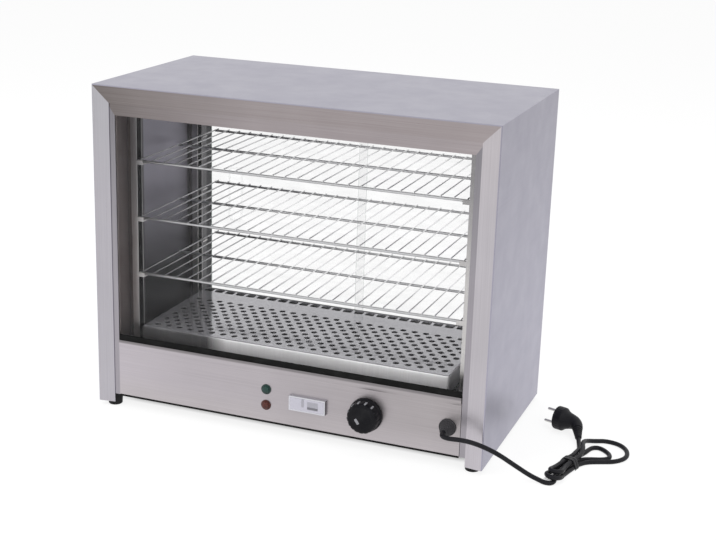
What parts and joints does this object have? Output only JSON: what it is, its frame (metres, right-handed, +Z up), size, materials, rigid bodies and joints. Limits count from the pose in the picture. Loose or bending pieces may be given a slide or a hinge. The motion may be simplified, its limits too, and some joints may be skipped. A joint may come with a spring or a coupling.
{
  "type": "heated display case",
  "caption": "Counter-top heated display case with glass front, sliding rear doors, wire shelves, perforated heater tray, thermostat knob and a tied mains cord.",
  "frame": {"origin": "on the table, under the middle of the case with its knob, without the free cord", "axes": "+X to the right as seen by someone facing the glass front, +Y to the rear doors, +Z up"},
  "size_m": [0.8225, 0.367, 0.516],
  "materials": {
    "outer_steel": "brushed stainless sheet, cool grey",
    "bezel_steel": "brushed stainless sheet",
    "panel_steel": "brushed stainless sheet, warm grey",
    "liner_steel": "brushed stainless sheet",
    "post_steel": "folded stainless channel",
    "base_steel": "plain zinc-plated sheet",
    "clear_glass": "clear toughened glass",
    "black_rubber": "matt black rubber",
    "cord_rubber": "satin black cord sheath",
    "tie_plastic": "black wire tie",
    "track_aluminium": "natural anodised extrusion",
    "black_plastic": "black moulded plastic",
    "clear_plastic": "clear moulded plastic",
    "pale_plastic": "pale moulded plastic",
    "plated_wire": "bright plated wire",
    "heater_steel": "dark oxidised sheath",
    "shaft_steel": "turned steel",
    "green_lens": "translucent green",
    "red_lens": "translucent red",
    "plate_metal": "bare satin plate",
    "pin_nickel": "nickel-plated pins"
  },
  "bodies": {
    "case": {"top_panel": "outer_steel", "left_side_panel": "outer_steel", "right_side_panel": "outer_steel", "rear_lower_panel": "outer_steel", "lip_frame": "bezel_steel", "control_panel": "panel_steel", "left_inner_wall": "liner_steel", "right_inner_wall": "liner_steel", "ceiling_panel": "liner_steel", "cavity_floor": "liner_steel", "front_left_upright": "post_steel", "front_right_upright": "post_steel", "rear_left_upright": "post_steel", "rear_right_upright": "post_steel", "base_plate": "base_steel", "element_supports": "base_steel", "front_glass": "clear_glass", "glass_seal": "black_rubber", "feet": "black_rubber", "cord_gland": "black_rubber", "power_cord": "cord_rubber", "cord_hank": "cord_rubber", "cord_tail": "cord_rubber", "plug_body": "cord_rubber", "cord_tie": "tie_plastic", "lower_door_track": "track_aluminium", "upper_door_track": "track_aluminium", "thermostat_body": "black_plastic", "lamp_holders": "black_plastic", "gland_nut": "black_plastic", "terminal_block": "pale_plastic", "heating_element": "heater_steel", "green_lamp": "green_lens", "red_lamp": "red_lens", "name_plate": "plate_metal", "plug_pins": "pin_nickel"},
    "left_door": {"left_door_glass": "clear_glass", "left_door_pull": "clear_plastic"},
    "right_door": {"right_door_glass": "clear_glass", "right_door_pull": "clear_plastic"},
    "knob": {"thermostat_knob": "black_plastic", "thermostat_shaft": "shaft_steel"},
    "lower_shelf": {"lower_wire_shelf": "plated_wire"},
    "middle_shelf": {"middle_wire_shelf": "plated_wire"},
    "upper_shelf": {"upper_wire_shelf": "plated_wire"},
    "tray": {"floor_tray": "liner_steel"}
  },
  "joints": [
    {"name": "left_door_slide", "type": "slide", "parent": "case", "child": "left_door", "axis": [1, 0, 0], "range_m": [0, 0.27]},
    {"name": "right_door_slide", "type": "slide", "parent": "case", "child": "right_door", "axis": [1, 0, 0], "range_m": [-0.27, 0]},
    {"name": "knob_turn", "type": "hinge", "parent": "case", "child": "knob", "pos_m": [0.1355, -0.1561, 0.063], "axis": [0, 1, 0], "range_deg": [0, 270]},
    {"name": "lower_shelf_lift", "type": "slide", "parent": "case", "child": "lower_shelf", "axis": [0, 0, 1], "range_m": [0, 0.03]},
    {"name": "middle_shelf_lift", "type": "slide", "parent": "case", "child": "middle_shelf", "axis": [0, 0, 1], "range_m": [0, 0.03]},
    {"name": "upper_shelf_lift", "type": "slide", "parent": "case", "child": "upper_shelf", "axis": [0, 0, 1], "range_m": [0, 0.03]},
    {"name": "tray_lift", "type": "slide", "parent": "case", "child": "tray", "axis": [0, 0, 1], "range_m": [0, 0.05]}
  ]
}
